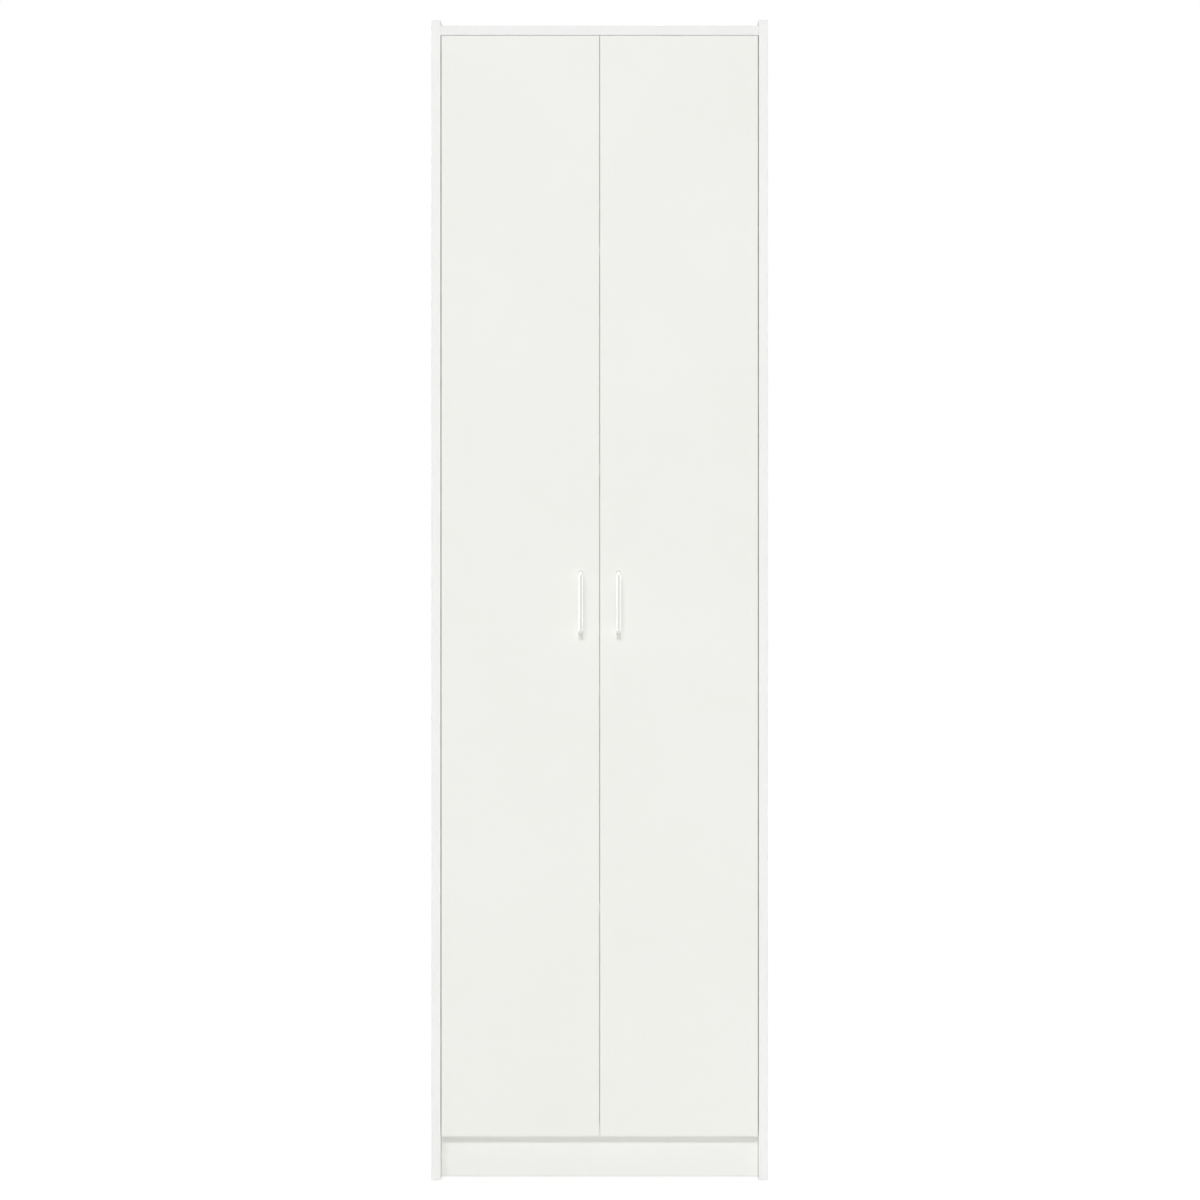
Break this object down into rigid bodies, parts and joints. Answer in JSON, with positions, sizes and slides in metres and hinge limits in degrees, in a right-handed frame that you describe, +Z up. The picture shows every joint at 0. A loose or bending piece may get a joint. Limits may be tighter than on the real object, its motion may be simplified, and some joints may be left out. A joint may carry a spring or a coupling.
{
  "type": "two-door shelf wardrobe",
  "caption": "Tall narrow white wardrobe with inset doors on concealed hinges, bow handles, inner shelves and a recessed plinth.",
  "frame": {"origin": "on the floor below the middle of the outline, handles included", "axes": "+Z up, doors towards -Y, +X to the right seen from the front"},
  "size_m": [0.58, 0.528, 2],
  "materials": {
    "white_board": "white melamine-faced chipboard, satin",
    "door_board": "warm white melamine-faced chipboard, satin",
    "back_board": "thin hardboard, white inside and brown behind",
    "white_plastic": "white moulded plastic",
    "glide_plastic": "pale hard plastic",
    "clear_rubber": "clear soft dots",
    "beech": "fluted beech",
    "zinc_steel": "zinc-plated steel",
    "zinc_alloy": "die-cast zinc",
    "hinge_nickel": "nickel-plated steel",
    "handle_finish": "satin chrome-plated metal"
  },
  "bodies": {
    "carcass": {"left_side": "white_board", "right_side": "white_board", "top_board": "white_board", "bottom_board": "white_board", "fixed_shelf": "white_board", "lower_shelf": "white_board", "middle_shelf": "white_board", "upper_shelf": "white_board", "plinth": "white_board", "back_panel_lower": "back_board", "back_panel_upper": "back_board", "back_joint_strip": "white_plastic", "dowels": "beech", "cam_bolts": "zinc_steel", "cam_locks": "zinc_alloy", "cam_caps": "white_plastic", "shelf_pins": "zinc_steel", "back_nails": "zinc_steel", "glides": "glide_plastic", "wall_brackets": "zinc_steel", "wall_bracket_screws": "zinc_steel", "door_buffers": "clear_rubber", "hinge_plates": "hinge_nickel", "hinge_plate_screws": "zinc_steel", "hinge_arm_screws": "zinc_steel", "hinge_arm_pins": "zinc_steel", "left_hinge_arm_1": "hinge_nickel", "left_hinge_arm_2": "hinge_nickel", "left_hinge_arm_3": "hinge_nickel", "left_hinge_arm_4": "hinge_nickel", "right_hinge_arm_1": "hinge_nickel", "right_hinge_arm_2": "hinge_nickel", "right_hinge_arm_3": "hinge_nickel", "right_hinge_arm_4": "hinge_nickel"},
    "left_hinge_links": {"left_hinge_link_1": "hinge_nickel", "left_hinge_link_2": "hinge_nickel", "left_hinge_link_3": "hinge_nickel", "left_hinge_link_4": "hinge_nickel"},
    "left_door_leaf": {"left_door": "door_board", "left_handle": "handle_finish", "left_handle_screws": "zinc_steel", "left_hinge_cup_pins": "zinc_steel", "left_hinge_cup_screws": "zinc_steel", "left_hinge_cup_1": "hinge_nickel", "left_hinge_cup_2": "hinge_nickel", "left_hinge_cup_3": "hinge_nickel", "left_hinge_cup_4": "hinge_nickel"},
    "right_hinge_links": {"right_hinge_link_1": "hinge_nickel", "right_hinge_link_2": "hinge_nickel", "right_hinge_link_3": "hinge_nickel", "right_hinge_link_4": "hinge_nickel"},
    "right_door_leaf": {"right_door": "door_board", "right_handle": "handle_finish", "right_handle_screws": "zinc_steel", "right_hinge_cup_pins": "zinc_steel", "right_hinge_cup_screws": "zinc_steel", "right_hinge_cup_1": "hinge_nickel", "right_hinge_cup_2": "hinge_nickel", "right_hinge_cup_3": "hinge_nickel", "right_hinge_cup_4": "hinge_nickel"}
  },
  "joints": [
    {"name": "left_link_swing", "type": "hinge", "parent": "carcass", "child": "left_hinge_links", "pos_m": [-0.24122, -0.2135, 1.024], "axis": [0, 0, 1], "range_deg": [0, 39.63]},
    {"name": "left_door_swing", "type": "hinge", "parent": "left_hinge_links", "child": "left_door_leaf", "pos_m": [-0.262, -0.2255, 1.024], "axis": [0, 0, -1], "range_deg": [0, 134.58]},
    {"name": "right_link_swing", "type": "hinge", "parent": "carcass", "child": "right_hinge_links", "pos_m": [0.24122, -0.2135, 1.024], "axis": [0, 0, -1], "range_deg": [0, 39.63]},
    {"name": "right_door_swing", "type": "hinge", "parent": "right_hinge_links", "child": "right_door_leaf", "pos_m": [0.262, -0.2255, 1.024], "axis": [0, 0, 1], "range_deg": [0, 134.58]}
  ],
  "couplings": [
    {"joint": "left_link_swing", "follows": "left_door_swing", "ratio": 0.29412},
    {"joint": "right_link_swing", "follows": "right_door_swing", "ratio": 0.29412}
  ]
}
